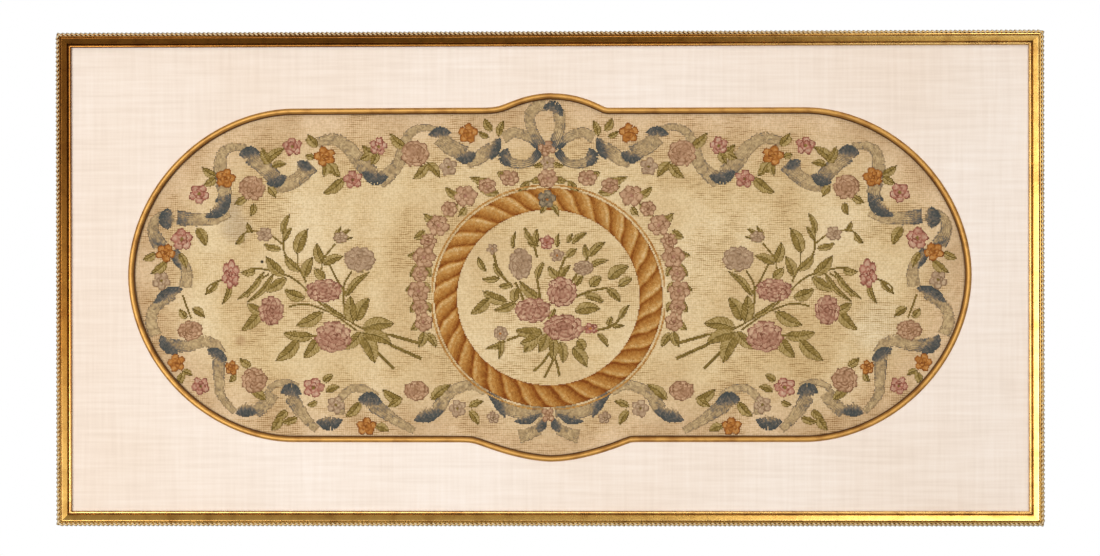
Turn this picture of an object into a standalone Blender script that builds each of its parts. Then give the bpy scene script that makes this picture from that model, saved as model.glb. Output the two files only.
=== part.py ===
"""A wide needlepoint tapestry in a gilt picture frame, as it hangs on a wall.

The pieces are laid out face up, in the order in which a framer stacks them: backing board,
needlework, mat with its shaped opening, gilt fillet round the opening, and the four mitred
rails over them all. There x is the picture's width, y its height, and z runs from the wall
at 0 towards the viewer. One empty then stands the whole stack upright, so that it faces -Y.
"""

import math

import bmesh
import bpy
from mathutils import Vector

MM = 0.001

# Frame: outer size, thickness off the wall, and width of the moulding's face.
FRAME_WIDTH = 1184 * MM
FRAME_HEIGHT = 592 * MM
FRAME_DEPTH = 20 * MM
MOULDING_WIDTH = 16.7 * MM
LIP_OVERLAP = 5 * MM

# The flat pieces in the frame's rebate, and the air between one piece and the next.
BOARD_THICKNESS = 4 * MM
CLOTH_THICKNESS = 2 * MM
MAT_THICKNESS = 4 * MM
GAP = 0.3 * MM
SIDE_PLAY = 0.5 * MM

# The opening, measured at the fillet's outer edge: two level runs, rounded ends a little
# fuller than a diamond and leaner than a circle, and a low crest in each level run.
OPENING_WIDTH = 1014.7 * MM
OPENING_HEIGHT = 402 * MM
OPENING_RAISED = 4.5 * MM
END_LENGTH = 200.3 * MM
END_POWER = 1.92
END_STEPS = 36
CREST_STEP = 8 * MM
CREST_MARGIN = 18 * MM
# centre along x, rise, half of its width, fullness, softness of the left and right foot
TOP_CREST = {
    "centre": 5 * MM,
    "rise": 17.5 * MM,
    "half": 64 * MM,
    "power": 2.0,
    "feet": (5 * MM, 1 * MM),
}
BOTTOM_CREST = {
    "centre": 4 * MM,
    "rise": 23.5 * MM,
    "half": 95 * MM,
    "power": 1.7,
    "feet": (3 * MM, 1 * MM),
}

# The fillet: its gilt face lies on the mat, its stem goes down the mat's cut edge.
FILLET_FACE = 6.3 * MM
FILLET_EDGE = 1.3 * MM
FILLET_STEM = 3.4 * MM
FILLET_CROWN = 2.4 * MM
CLOTH_MARGIN = 10 * MM

# Heights above the wall at which each flat piece starts.
CLOTH_BASE = BOARD_THICKNESS + GAP
MAT_BASE = CLOTH_BASE + CLOTH_THICKNESS + GAP
MAT_FACE = MAT_BASE + MAT_THICKNESS
LIP_BACK = MAT_FACE + GAP

COLOURS = {
    "gilt_moulding": ((0.47, 0.27, 0.07, 1.0), 0.35, 0.9),
    "gilt_fillet": ((0.60, 0.36, 0.10, 1.0), 0.35, 0.9),
    "pale_silk": ((0.86, 0.72, 0.61, 1.0), 0.7, 0.0),
    "wool_needlework": ((0.62, 0.50, 0.34, 1.0), 0.9, 0.0),
    "raw_board": ((0.42, 0.30, 0.19, 1.0), 0.85, 0.0),
}


def clear_scene():
    for obj in list(bpy.data.objects):
        bpy.data.objects.remove(obj, do_unlink=True)


def make_collection(name):
    collection = bpy.data.collections.new(name)
    bpy.context.scene.collection.children.link(collection)
    return collection


def make_material(name):
    colour, roughness, metallic = COLOURS[name]
    material = bpy.data.materials.new(name)
    material.use_nodes = True
    shader = material.node_tree.nodes["Principled BSDF"]
    shader.inputs["Base Color"].default_value = colour
    shader.inputs["Roughness"].default_value = roughness
    shader.inputs["Metallic"].default_value = metallic
    return material


def place(obj, material):
    """Puts a finished piece into the parts collection, under the empty that stands it up."""
    parts.objects.link(obj)
    obj.parent = upright
    obj.data.materials.append(make_material(material))
    return obj


def crest_height(crest, x):
    """How far a crest lies outside its level run at x, with each foot eased into the run."""
    offset = x - crest["centre"]
    arch = crest["rise"] * (1 - abs(offset / crest["half"]) ** crest["power"])
    ease = crest["feet"][0] if offset < 0 else crest["feet"][1]
    return (arch + math.hypot(arch, ease)) / 2


def crest_run(crest, side):
    """Points of one level run's crest, from left to right; side is 1 for the top, -1 below."""
    reach = crest["half"] + CREST_MARGIN
    steps = math.ceil(2 * reach / CREST_STEP)
    run = []
    for step in range(steps + 1):
        x = crest["centre"] - reach + 2 * reach * step / steps
        y = OPENING_HEIGHT / 2 + crest_height(crest, x)
        run.append(Vector((x, OPENING_RAISED + side * y)))
    return run


def rounded_end(side):
    """Points of one end, anticlockwise; side is 1 for the right end, -1 for the left."""
    centre_x = OPENING_WIDTH / 2 - END_LENGTH
    end = []
    for step in range(END_STEPS + 1):
        angle = math.pi * (step / END_STEPS - 0.5)
        across = math.cos(angle) if 0 < step < END_STEPS else 0.0
        along = math.sin(angle)
        x = centre_x + END_LENGTH * across ** (2 / END_POWER)
        y = OPENING_HEIGHT / 2 * math.copysign(abs(along) ** (2 / END_POWER), along)
        end.append(Vector((side * x, OPENING_RAISED + side * y)))
    return end


def opening_outline(inset):
    """The opening's outline, anticlockwise, moved inwards all round by inset."""
    outline = rounded_end(1) + crest_run(TOP_CREST, 1)[::-1]
    outline += rounded_end(-1) + crest_run(BOTTOM_CREST, -1)
    moved = []
    for index, point in enumerate(outline):
        before = (point - outline[index - 1]).normalized()
        after = (outline[(index + 1) % len(outline)] - point).normalized()
        tangent = (before + after).normalized()
        inward = Vector((-tangent.y, tangent.x))
        moved.append(point + inward * (inset / tangent.dot(after)))
    return moved


def rectangle(width, height):
    x, y = width / 2, height / 2
    return [Vector(corner) for corner in ((x, y), (-x, y), (-x, -y), (x, -y))]


def closed_curve(name, loops):
    """A flat curve object with one closed straight-sided spline for each loop of points."""
    curve = bpy.data.curves.new(name, "CURVE")
    curve.dimensions = "2D"
    for points in loops:
        spline = curve.splines.new("POLY")
        spline.points.add(len(points) - 1)
        for place_of, point in zip(spline.points, points):
            place_of.co = (point[0], point[1], 0, 1)
        spline.use_cyclic_u = True
    return bpy.data.objects.new(name, curve)


def flat_piece(name, loops, base, thickness, material):
    """A plate cut to the first loop, with any further loop as a hole in it."""
    piece = closed_curve(name, loops)
    piece.data.fill_mode = "BOTH"
    piece.data.extrude = thickness / 2
    piece.location.z = base + thickness / 2
    return place(piece, material)


def bead(start, end, base, rise, steps):
    """Profile points of a half-round bead between two insets, standing on base."""
    middle, half = (start + end) / 2, (end - start) / 2
    points = []
    for step in range(steps + 1):
        angle = math.pi * (1 - step / steps)
        points.append((middle + half * math.cos(angle), base + rise * math.sin(angle)))
    return points


def cove(start, end, high, low, sag, steps):
    """Profile points of a shallow hollow that falls from high to low between two insets."""
    points = []
    for step in range(steps + 1):
        part = step / steps
        drop = sag * math.sin(math.pi * part)
        points.append((start + (end - start) * part, high + (low - high) * part - drop))
    return points


def moulding_profile():
    """The rail's section as (inset from its outer side, height above the wall)."""
    rebate = MOULDING_WIDTH - LIP_OVERLAP
    rope = bead(0 * MM, 2.6 * MM, 17.2 * MM, 1.3 * MM, 8)
    ring = bead(3.0 * MM, 4.9 * MM, 17.8 * MM, 1.0 * MM, 6)
    face = cove(6.3 * MM, 12.0 * MM, FRAME_DEPTH, 17.4 * MM, 0.7 * MM, 8)
    sight = bead(13.2 * MM, MOULDING_WIDTH, 14.2 * MM, 1.2 * MM, 8)
    outer = [(0, 0), *rope, (2.8 * MM, 16.8 * MM), *ring, (5.3 * MM, 17.0 * MM), (5.9 * MM, 17.0 * MM)]
    inner = [(12.4 * MM, 16.9 * MM), (12.6 * MM, 13.8 * MM), *sight]
    back = [(MOULDING_WIDTH, LIP_BACK), (rebate, LIP_BACK), (rebate, 0)]
    return outer + face + inner + back


def make_rail(name, length, location, turn):
    """One mitred rail: its section drawn out along x, and each end cut back at 45 degrees."""
    bm = bmesh.new()
    section = [bm.verts.new((0, -inset, height)) for inset, height in moulding_profile()]
    start = bm.faces.new(section)
    drawn = bmesh.ops.extrude_face_region(bm, geom=[start])["geom"]
    far_end = {item for item in drawn if isinstance(item, bmesh.types.BMVert)}
    joint = GAP / 2 * math.sqrt(2)
    for vert in bm.verts:
        reach = length / 2 + vert.co.y - joint
        vert.co.x = reach if vert in far_end else -reach
    bmesh.ops.recalc_face_normals(bm, faces=bm.faces[:])
    mesh = bpy.data.meshes.new(name)
    bm.to_mesh(mesh)
    bm.free()
    mesh.shade_smooth()
    mesh.set_sharp_from_angle(angle=math.radians(35))
    rail = place(bpy.data.objects.new(name, mesh), "gilt_moulding")
    rail.location = (*location, 0)
    rail.rotation_euler.z = math.radians(turn)
    return rail


def make_frame():
    half_width, half_height = FRAME_WIDTH / 2, FRAME_HEIGHT / 2
    make_rail("frame_top", FRAME_WIDTH, (0, half_height), 0)
    make_rail("frame_bottom", FRAME_WIDTH, (0, -half_height), 180)
    make_rail("frame_left", FRAME_HEIGHT, (-half_width, 0), 90)
    make_rail("frame_right", FRAME_HEIGHT, (half_width, 0), -90)


def fillet_profile():
    """The fillet's section as (inset from its outer edge, height above the mat's face)."""
    low = GAP
    face = bead(0, FILLET_FACE, low, FILLET_CROWN, 8)
    inner = FILLET_FACE + FILLET_EDGE
    foot = CLOTH_BASE + CLOTH_THICKNESS + GAP - MAT_FACE
    edge = [(FILLET_FACE + 0.2 * MM, low - 0.5 * MM), (inner, low - 0.9 * MM)]
    stem = [(inner, foot), (inner - FILLET_STEM, foot), (inner - FILLET_STEM, low)]
    return face + edge + stem


def make_fillet():
    """The gilt fillet: one closed band, its section swept round the opening's outline."""
    section = closed_curve("fillet_section", [fillet_profile()])
    section.hide_render = True
    guides.objects.link(section)
    band = closed_curve("gilt_fillet", [opening_outline(0)])
    band.data.bevel_mode = "OBJECT"
    band.data.bevel_object = section
    band.location.z = MAT_FACE
    return place(band, "gilt_fillet")


def make_flat_pieces():
    inner_width = FRAME_WIDTH - 2 * (MOULDING_WIDTH - LIP_OVERLAP + SIDE_PLAY)
    inner_height = FRAME_HEIGHT - 2 * (MOULDING_WIDTH - LIP_OVERLAP + SIDE_PLAY)
    sheet = rectangle(inner_width, inner_height)
    flat_piece("backing_board", [sheet], 0, BOARD_THICKNESS, "raw_board")
    cloth_edge = opening_outline(FILLET_FACE + FILLET_EDGE - CLOTH_MARGIN)
    flat_piece("tapestry", [cloth_edge], CLOTH_BASE, CLOTH_THICKNESS, "wool_needlework")
    cut_edge = opening_outline(FILLET_FACE + FILLET_EDGE - FILLET_STEM - GAP)
    flat_piece("mat", [sheet, cut_edge], MAT_BASE, MAT_THICKNESS, "pale_silk")


clear_scene()
parts = make_collection("framed_needlepoint_tapestry")
guides = make_collection("guides")
upright = bpy.data.objects.new("hung_upright", None)
upright.rotation_euler.x = math.radians(90)
parts.objects.link(upright)

make_flat_pieces()
make_fillet()
make_frame()
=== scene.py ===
# %% [markdown]
# A needlepoint tapestry in its gilt frame
#
# This notebook dresses a plain frame model as the real thing: a long needlepoint panel with
# ribbons, roses and a twisted rope ring, behind a silk mat with a shaped opening, in a
# narrow gilt moulding. The plain model already has every piece at its real size, so nothing
# here moves it. We only add finishes, and the fine pieces that are too small for it.

# %% Load the plain model
import math

import bmesh
import bpy
import numpy as np
from mathutils import Euler, Matrix, Vector


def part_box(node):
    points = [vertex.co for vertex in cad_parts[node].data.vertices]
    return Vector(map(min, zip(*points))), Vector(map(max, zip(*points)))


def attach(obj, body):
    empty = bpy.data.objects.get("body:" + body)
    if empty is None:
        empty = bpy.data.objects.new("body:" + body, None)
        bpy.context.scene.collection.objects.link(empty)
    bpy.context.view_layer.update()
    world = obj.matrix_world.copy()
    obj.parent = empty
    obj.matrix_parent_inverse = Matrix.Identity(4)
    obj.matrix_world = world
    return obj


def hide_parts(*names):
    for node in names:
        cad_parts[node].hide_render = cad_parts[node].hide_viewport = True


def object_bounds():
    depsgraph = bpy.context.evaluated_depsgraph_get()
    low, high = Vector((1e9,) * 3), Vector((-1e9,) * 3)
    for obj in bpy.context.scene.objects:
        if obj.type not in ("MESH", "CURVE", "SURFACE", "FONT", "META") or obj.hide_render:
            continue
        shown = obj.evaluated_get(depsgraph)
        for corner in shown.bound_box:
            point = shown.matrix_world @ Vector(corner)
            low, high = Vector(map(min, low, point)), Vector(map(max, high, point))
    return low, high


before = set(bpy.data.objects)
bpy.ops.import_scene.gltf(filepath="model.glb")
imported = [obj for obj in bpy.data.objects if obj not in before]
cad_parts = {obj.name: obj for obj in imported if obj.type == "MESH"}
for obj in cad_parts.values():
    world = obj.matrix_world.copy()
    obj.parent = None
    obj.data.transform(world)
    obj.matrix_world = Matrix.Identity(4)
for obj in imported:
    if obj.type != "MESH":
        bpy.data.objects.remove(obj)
cad_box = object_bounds()
MM = 0.001
print("pieces in the plain model:", sorted(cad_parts))

# %% [markdown]
# Sizes come from the model, so that every new piece sits on the one that carries it. The
# picture faces -Y: x is its width, z its height, and a smaller y is nearer to the viewer.

# %% Read the sizes of the pieces
frame_low, frame_high = (Vector(corner) for corner in cad_box)
HALF_WIDTH = (frame_high.x - frame_low.x) / 2
HALF_HEIGHT = (frame_high.z - frame_low.z) / 2
FRAME_FRONT = frame_low.y
MAT_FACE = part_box("mat")[0][1]
CLOTH_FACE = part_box("tapestry")[0][1]
print("frame", round(2 * HALF_WIDTH, 4), "by", round(2 * HALF_HEIGHT, 4), "m")
print("mat face at y", round(MAT_FACE, 4), "cloth face at y", round(CLOTH_FACE, 4))

# %% [markdown]
# Colours are written as a painter would note them, in sRGB hex, and shaders want linear
# light, so one function turns the first into the second. Another adds a node to a material
# with its settings and its links, which keeps each material short enough to read.


# %% Two helpers for materials
def linear(hex_colour):
    """An sRGB hex colour as linear red, green, blue and alpha."""
    channels = [int(hex_colour[at : at + 2], 16) / 255 for at in (1, 3, 5)]
    low = 0.04045
    bent = [c / 12.92 if c <= low else ((c + 0.055) / 1.055) ** 2.4 for c in channels]
    return (*bent, 1.0)


def add(tree, kind, settings=None, **sockets):
    """Adds a node: settings are its properties, sockets take a value or another socket."""
    node = tree.nodes.new(kind)
    for name, value in (settings or {}).items():
        setattr(node, name, value)
    for name, value in sockets.items():
        key = int(name[1:]) if name[0] == "i" and name[1:].isdigit() else name.replace("_", " ")
        if isinstance(value, bpy.types.NodeSocket):
            tree.links.new(value, node.inputs[key])
        else:
            node.inputs[key].default_value = value
    return node


def new_material(name, roughness, metallic=0.0):
    """A material with its shader, and the Object coordinates that its patterns are drawn on."""
    material = bpy.data.materials.new(name)
    material.use_nodes = True
    tree = material.node_tree
    shader = tree.nodes["Principled BSDF"]
    shader.inputs["Roughness"].default_value = roughness
    shader.inputs["Metallic"].default_value = metallic
    place = add(tree, "ShaderNodeTexCoord").outputs["Object"]
    return material, tree, shader, place


def ramp(tree, factor, stops):
    """A colour ramp over factor, with one (position, hex colour) for each stop."""
    node = add(tree, "ShaderNodeValToRGB", Fac=factor)
    elements = node.color_ramp.elements
    while len(elements) < len(stops):
        elements.new(0.5)
    for element, (position, colour) in zip(elements, stops):
        element.position = position
        element.color = linear(colour)
    return node.outputs["Color"]


def noise(tree, place, scale, detail=3.0, stretch=(1, 1, 1)):
    """Noise on Object coordinates, scale in patches a metre, longer along a small stretch."""
    mapping = add(tree, "ShaderNodeMapping", Vector=place, Scale=stretch)
    texture = add(tree, "ShaderNodeTexNoise", Vector=mapping.outputs["Vector"], Scale=scale, Detail=detail)
    return texture.outputs["Fac"]


def maths(tree, operation, first, second=0.0, third=0.0):
    """One step of arithmetic on sockets or values."""
    node = add(tree, "ShaderNodeMath", {"operation": operation}, i0=first, i1=second, i2=third)
    return node.outputs["Value"]


def bump(tree, shader, height, depth):
    """Raises the surface by height times depth, in metres."""
    node = add(tree, "ShaderNodeBump", Height=height, Distance=depth, Strength=1.0)
    tree.links.new(node.outputs["Normal"], shader.inputs["Normal"])


def mixed(tree, factor, first, second, blend="MIX"):
    """One colour over another; each is a socket or a linear colour."""
    kind = {"data_type": "RGBA", "blend_type": blend}
    node = add(tree, "ShaderNodeMix", kind, i0=factor, i6=first, i7=second)
    return node.outputs[2]


# %% [markdown]
# The camera stands 2.6 m in front of the picture, a little to its right, and looks straight
# at it, as for a catalogue photo. Its place and turn were worked out from the four corners
# of the frame. A long lens keeps the rails parallel.

# %% Camera
CAMERA_PLACE = (0.0422, -2.5831, 0.0031)
CAMERA_TURN = (89.951, 0.084, 0.902)
LENS = 70.0
camera = bpy.data.objects.new("camera", bpy.data.cameras.new("camera"))
camera.data.lens = LENS
camera.location = CAMERA_PLACE
camera.rotation_euler = Euler([math.radians(turn) for turn in CAMERA_TURN])
bpy.context.scene.collection.objects.link(camera)
bpy.context.scene.camera = camera
bpy.context.scene.view_settings.view_transform = "Standard"
print("camera at", CAMERA_PLACE)

# %% [markdown]
# Gilding shows what it faces, so the light matters as much as the gold. The photo has a
# large window low on the left and another high on the right: the bottom and right rails go
# almost white, and the top left of the frame stays brown. A lamp behind the camera lights the
# silk and the cloth, where no rail mirrors it. The room is dim, so that the brown stays
# brown, but white where the camera sees it. A plain floor lies well below the picture.


# %% Lights, room and floor
def area_light(name, place, size, power):
    """A white rectangular lamp aimed at the middle of the picture."""
    light = bpy.data.lights.new(name, "AREA")
    light.shape = "RECTANGLE"
    light.size, light.size_y = size
    light.energy = power
    lamp = bpy.data.objects.new(name, light)
    lamp.location = place
    aim = Vector((0, 0, 0)) - Vector(place)
    lamp.rotation_euler = aim.to_track_quat("-Z", "Y").to_euler()
    bpy.context.scene.collection.objects.link(lamp)


# the floor in metres, then how bright the room is low down and high up
FLOOR_LEVEL = -2.4
FLOOR_RADIUS = 1.2
ROOM_LOW = 0.08
ROOM_HIGH = 0.30
area_light("left_window", (-1.5, -2.5, -0.42), (1.1, 1.0), 31)
area_light("high_right_window", (1.15, -2.4, 2.0), (1.0, 0.9), 18)
area_light("low_right_card", (1.45, -2.5, -0.95), (1.3, 1.9), 15)
area_light("front_softbox", (-0.7, -4.4, 0.3), (2.6, 1.6), 75)

world = bpy.data.worlds.new("dim_room")
world.use_nodes = True
bpy.context.scene.world = world
tree = world.node_tree
background = tree.nodes["Background"]
toward = add(tree, "ShaderNodeTexCoord").outputs["Generated"]
height = add(tree, "ShaderNodeSeparateXYZ", Vector=toward).outputs["Z"]
rising = {"From_Min": -0.3, "From_Max": 0.7, "To_Min": ROOM_LOW, "To_Max": ROOM_HIGH}
walls = add(tree, "ShaderNodeMapRange", Value=height, **rising)
seen = add(tree, "ShaderNodeLightPath").outputs["Is Camera Ray"]
tree.links.new(maths(tree, "MAXIMUM", seen, walls.outputs["Result"]), background.inputs["Strength"])
tree.links.new(mixed(tree, seen, linear("#FFF0DF"), linear("#FFFFFF")), background.inputs["Color"])

bm = bmesh.new()
bmesh.ops.create_circle(bm, cap_ends=True, radius=FLOOR_RADIUS, segments=96)
bmesh.ops.translate(bm, verts=bm.verts, vec=(0, 0, FLOOR_LEVEL))
floor_mesh = bpy.data.meshes.new("floor")
bm.to_mesh(floor_mesh)
bm.free()
floor = bpy.data.objects.new("floor", floor_mesh)
bpy.context.scene.collection.objects.link(floor)
floor_paint, tree, shader, place = new_material("pale_floor_paint", 0.9)
shader.inputs["Base Color"].default_value = linear("#F4F2EF")
floor_mesh.materials.append(floor_paint)
print("four soft lights, a dim room and a floor at z", FLOOR_LEVEL)

# %% [markdown]
# The rails are wood with gesso and gold leaf, rubbed back so that the brown ground shows in
# the hollows. Their bands run parallel to the outer edge, so one number drives them all: how
# far a point lies from the nearest outer side. It meets itself at each mitre, as the bands do.
# Some bands are painted highlights on the bead ridges and painted shade in the grooves, and a
# painted light gradient browns the gold towards the top left.


# %% Gilt moulding
MOULDING_WIDTH = 16.7 * MM


def edge_distance(tree, place):
    """How far each point lies from the frame's nearest outer side, as a share of the rail."""
    parts = add(tree, "ShaderNodeSeparateXYZ", Vector=place)
    from_side = maths(tree, "SUBTRACT", HALF_WIDTH, maths(tree, "ABSOLUTE", parts.outputs["X"]))
    from_top = maths(tree, "SUBTRACT", HALF_HEIGHT, maths(tree, "ABSOLUTE", parts.outputs["Z"]))
    return maths(tree, "DIVIDE", maths(tree, "MINIMUM", from_side, from_top), MOULDING_WIDTH)


def gilt_moulding():
    """Gold leaf over brown clay: a warm metal, with painted highlights along the ridges, brown clay and
    painted shade in the grooves, and painted light that browns it towards the top left.
    """
    material, tree, shader, place = new_material("gilded_wood_moulding", 0.34, 0.9)
    # painted highlights: the bright stops lie on the bead ridges; the darker stops in the grooves are brown
    # clay and painted shade
    bands = ramp(
        tree,
        edge_distance(tree, place),
        [
            (0.0, "#C2A365"),
            (0.155, "#A8803F"),
            (0.185, "#E2BE72"),
            (0.285, "#C99A48"),
            (0.31, "#AE8546"),
            (0.36, "#B98F50"),
            (0.385, "#E2C07A"),
            (0.45, "#D6AC5C"),
            (0.70, "#D0A353"),
            (0.735, "#C09A55"),
            (0.78, "#C8A564"),
            (0.80, "#E0C080"),
            (0.95, "#C49A55"),
        ],
    )
    worn = noise(tree, place, 45, 6)
    leaf = ramp(tree, worn, [(0.30, "#A87C48"), (0.50, "#FFFFFF")])
    gilded = mixed(tree, 0.45, bands, leaf, "MULTIPLY")
    # painted light: the gold is browned towards the top left and kept at full colour towards the bottom
    # right
    parts = add(tree, "ShaderNodeSeparateXYZ", Vector=place)
    across = maths(tree, "MULTIPLY_ADD", parts.outputs["X"], 1 / (3 * HALF_WIDTH), 0.5)
    painted_light_gradient = ramp(
        tree,
        maths(tree, "MULTIPLY_ADD", parts.outputs["Z"], -1 / (3 * HALF_HEIGHT), across),
        [(0.0, "#B0906C"), (0.26, "#DCBF98"), (0.44, "#FFFFFF")],
    )
    tree.links.new(mixed(tree, 1.0, gilded, painted_light_gradient, "MULTIPLY"), shader.inputs["Base Color"])
    rubbed = add(tree, "ShaderNodeMapRange", Value=noise(tree, place, 160, 4), To_Min=0.22, To_Max=0.34)
    tree.links.new(rubbed.outputs["Result"], shader.inputs["Roughness"])
    bump(tree, shader, noise(tree, place, 420, 2), 0.05 * MM)
    return material


def finish_node(node, material):
    """Gives a piece of the plain model its real finish."""
    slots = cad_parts[node].material_slots
    for slot in slots:
        slot.link = "OBJECT"
        slot.material = material


gilding = gilt_moulding()
for side in ("top", "bottom", "left", "right"):
    finish_node("frame_" + side, gilding)
print("gilded four rails")

# %% [markdown]
# The outermost bead is carved as a twisted rope. At this size a turn is a small slanted
# lozenge, so the rope is a row of them, each a low-count sphere stretched and turned, sunk
# halfway into the plain bead that carries it.

# %% Rope-twist bead
TWIST_PITCH = 5.5 * MM
TWIST_LENGTH = 4.1 * MM
TWIST_RADIUS = 1.45 * MM
TWIST_SLANT = 32
BEAD_CENTRE = 1.3 * MM
BEAD_SINK = 2.5 * MM
BEAD_LEVEL = FRAME_FRONT + BEAD_SINK


def new_piece(name, bm, material, replaced=()):
    """Makes a finished piece of a bmesh: it rides with the frame and has its finish."""
    mesh = bpy.data.meshes.new(name)
    bm.to_mesh(mesh)
    bm.free()
    return dressed(name, mesh, material, replaced)


def dressed(name, mesh, material, replaced=()):
    """Puts a mesh into the scene as a finished piece, in place of the nodes it replaces."""
    mesh.materials.append(material)
    piece = bpy.data.objects.new(name, mesh)
    bpy.context.scene.collection.objects.link(piece)
    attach(piece, "root")
    if replaced:
        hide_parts(*replaced)
    return piece


def rope_twists(bm, half_length, half_other, turn):
    """Slanted lozenges along one rail, laid out on the top rail and turned into place."""
    count = round(2 * (half_length - BEAD_CENTRE) / TWIST_PITCH)
    pitch = 2 * (half_length - BEAD_CENTRE) / count
    slant = Matrix.Rotation(math.radians(TWIST_SLANT), 4, "Y")
    stretch = Matrix.Diagonal((TWIST_LENGTH, TWIST_RADIUS, TWIST_RADIUS, 1))
    around = Matrix.Rotation(math.radians(turn), 4, "Y")
    for step in range(count):
        along = -half_length + BEAD_CENTRE + (step + 0.5) * pitch
        spot = Matrix.Translation((along, BEAD_LEVEL, half_other - BEAD_CENTRE))
        matrix = around @ spot @ slant @ stretch
        bmesh.ops.create_uvsphere(bm, u_segments=8, v_segments=5, radius=1, matrix=matrix)


def gilt_rope():
    """Bronze paint on carved wood: duller than leaf, dark between the twists."""
    material, tree, shader, place = new_material("bronzed_rope_carving", 0.5, 0.55)
    rubbed = ramp(tree, noise(tree, place, 220, 3), [(0.35, "#BFA477"), (0.62, "#D6C3A0")])
    tree.links.new(rubbed, shader.inputs["Base Color"])
    return material


bm = bmesh.new()
for half_length, half_other, turn in (
    (HALF_WIDTH, HALF_HEIGHT, 0),
    (HALF_WIDTH, HALF_HEIGHT, 180),
    (HALF_HEIGHT, HALF_WIDTH, 90),
    (HALF_HEIGHT, HALF_WIDTH, -90),
):
    rope_twists(bm, half_length, half_other, turn)
for face in bm.faces:
    face.smooth = True
print("rope bead has", len(bm.faces), "faces")
new_piece("rope_twist_bead", bm, gilt_rope())

# %% [markdown]
# The mat is board wrapped in pale slubbed silk. Its weave is too fine to show from here, but
# the slubs, which are thick places in the yarn, show as long faint streaks both ways.


# %% Silk mat and backing board
def slubbed_silk():
    """Undyed silk: a soft sheen, and thick places in the yarn every few centimetres."""
    material, tree, shader, place = new_material("slubbed_silk", 0.72)
    level = noise(tree, place, 260, 4, (0.05, 1, 1))
    upright = noise(tree, place, 260, 4, (1, 1, 0.05))
    slubs = maths(tree, "ADD", maths(tree, "MULTIPLY", level, 0.6), maths(tree, "MULTIPLY", upright, 0.4))
    yarn = ramp(tree, slubs, [(0.34, "#EDDFD2"), (0.5, "#F3E6DA"), (0.68, "#F8EDE3")])
    cast = ramp(tree, noise(tree, place, 3, 2), [(0.35, "#F9F4EE"), (0.65, "#FFFFFF")])
    tree.links.new(mixed(tree, 1.0, yarn, cast, "MULTIPLY"), shader.inputs["Base Color"])
    shader.inputs["Sheen Weight"].default_value = 0.15
    bump(tree, shader, slubs, 0.2 * MM)
    return material


def raw_board():
    """Plain grey-brown board: matt, with short pale fibres pressed in every direction."""
    material, tree, shader, place = new_material("pressed_fibre_board", 0.88)
    fibres = noise(tree, place, 700, 5, (0.3, 1, 1))
    tree.links.new(ramp(tree, fibres, [(0.3, "#9C8466"), (0.7, "#BFA887")]), shader.inputs["Base Color"])
    bump(tree, shader, fibres, 0.1 * MM)
    return material


finish_node("mat", slubbed_silk())
finish_node("backing_board", raw_board())
print("covered the mat and finished the board")


# %% [markdown]
# The opening's outline is needed twice here: for the gilt band round it, and to keep every
# stitch inside it. It has two level runs with a low crest in each, and rounded ends. The
# same few sizes as the plain model's give it, so the new band lies exactly on the old one.

# %% The outline of the opening
OPENING_WIDTH = 1014.7 * MM
OPENING_HEIGHT = 402 * MM
OPENING_RAISED = 4.5 * MM
END_LENGTH = 200.3 * MM
END_POWER = 1.92
END_STEPS = 90
# centre, rise, half of its width, fullness, softness of the left and the right foot, in mm
CRESTS = {1: (5, 17.5, 64, 2.0, 5, 1), -1: (4, 23.5, 95, 1.7, 3, 1)}


def crest_run(side, step=2.5):
    """One crest from left to right, above the opening (side 1) or below it (side -1)."""
    centre, rise, half, power, soft_left, soft_right = CRESTS[side]
    x = np.arange(-half - 18, half + 18 + step, step)
    arch = rise * (1 - np.abs(x / half) ** power)
    height = (arch + np.hypot(arch, np.where(x < 0, soft_left, soft_right))) / 2
    z = OPENING_RAISED + side * (OPENING_HEIGHT / 2 + height * MM)
    return np.column_stack([(x + centre) * MM, z])


def rounded_end(side):
    """One end of the opening, anticlockwise: side 1 is the right end, -1 the left."""
    angle = np.linspace(-math.pi / 2, math.pi / 2, END_STEPS + 1)
    across = np.cos(angle).clip(0) ** (2 / END_POWER)
    along = np.sign(angle) * np.abs(np.sin(angle)) ** (2 / END_POWER)
    x = OPENING_WIDTH / 2 - END_LENGTH + END_LENGTH * across
    return np.column_stack([side * x, OPENING_RAISED + side * OPENING_HEIGHT / 2 * along])


def outline(inset=0.0):
    """The whole outline, anticlockwise, moved inwards by inset metres."""
    loop = np.vstack([rounded_end(1), crest_run(1)[::-1], rounded_end(-1), crest_run(-1)])
    before = loop - np.roll(loop, 1, axis=0)
    after = np.roll(loop, -1, axis=0) - loop
    before /= np.linalg.norm(before, axis=1, keepdims=True)
    after /= np.linalg.norm(after, axis=1, keepdims=True)
    tangent = before + after
    tangent /= np.linalg.norm(tangent, axis=1, keepdims=True)
    inward = np.column_stack([-tangent[:, 1], tangent[:, 0]])
    return loop + inward * inset / (tangent * after).sum(axis=1)[:, None]


def inset_of(x, z):
    """How far inside the opening's outer edge each place lies, negative outside it."""
    centre_x = OPENING_WIDTH / 2 - END_LENGTH
    beyond = np.clip(np.abs(x) - centre_x, 0, None) / END_LENGTH
    up = np.abs(z - OPENING_RAISED) / (OPENING_HEIGHT / 2)
    fullness = (beyond**END_POWER + up**END_POWER) ** (1 / END_POWER)
    inside = (1 - fullness) * OPENING_HEIGHT / 2
    for side in (1, -1):
        run = crest_run(side)
        reach = side * (np.interp(x, run[:, 0], run[:, 1]) - z)
        middle = (x > run[0, 0]) & (x < run[-1, 0]) & (side * (z - OPENING_RAISED) > 0)
        inside = np.where(middle, reach, inside)
    return inside


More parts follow.
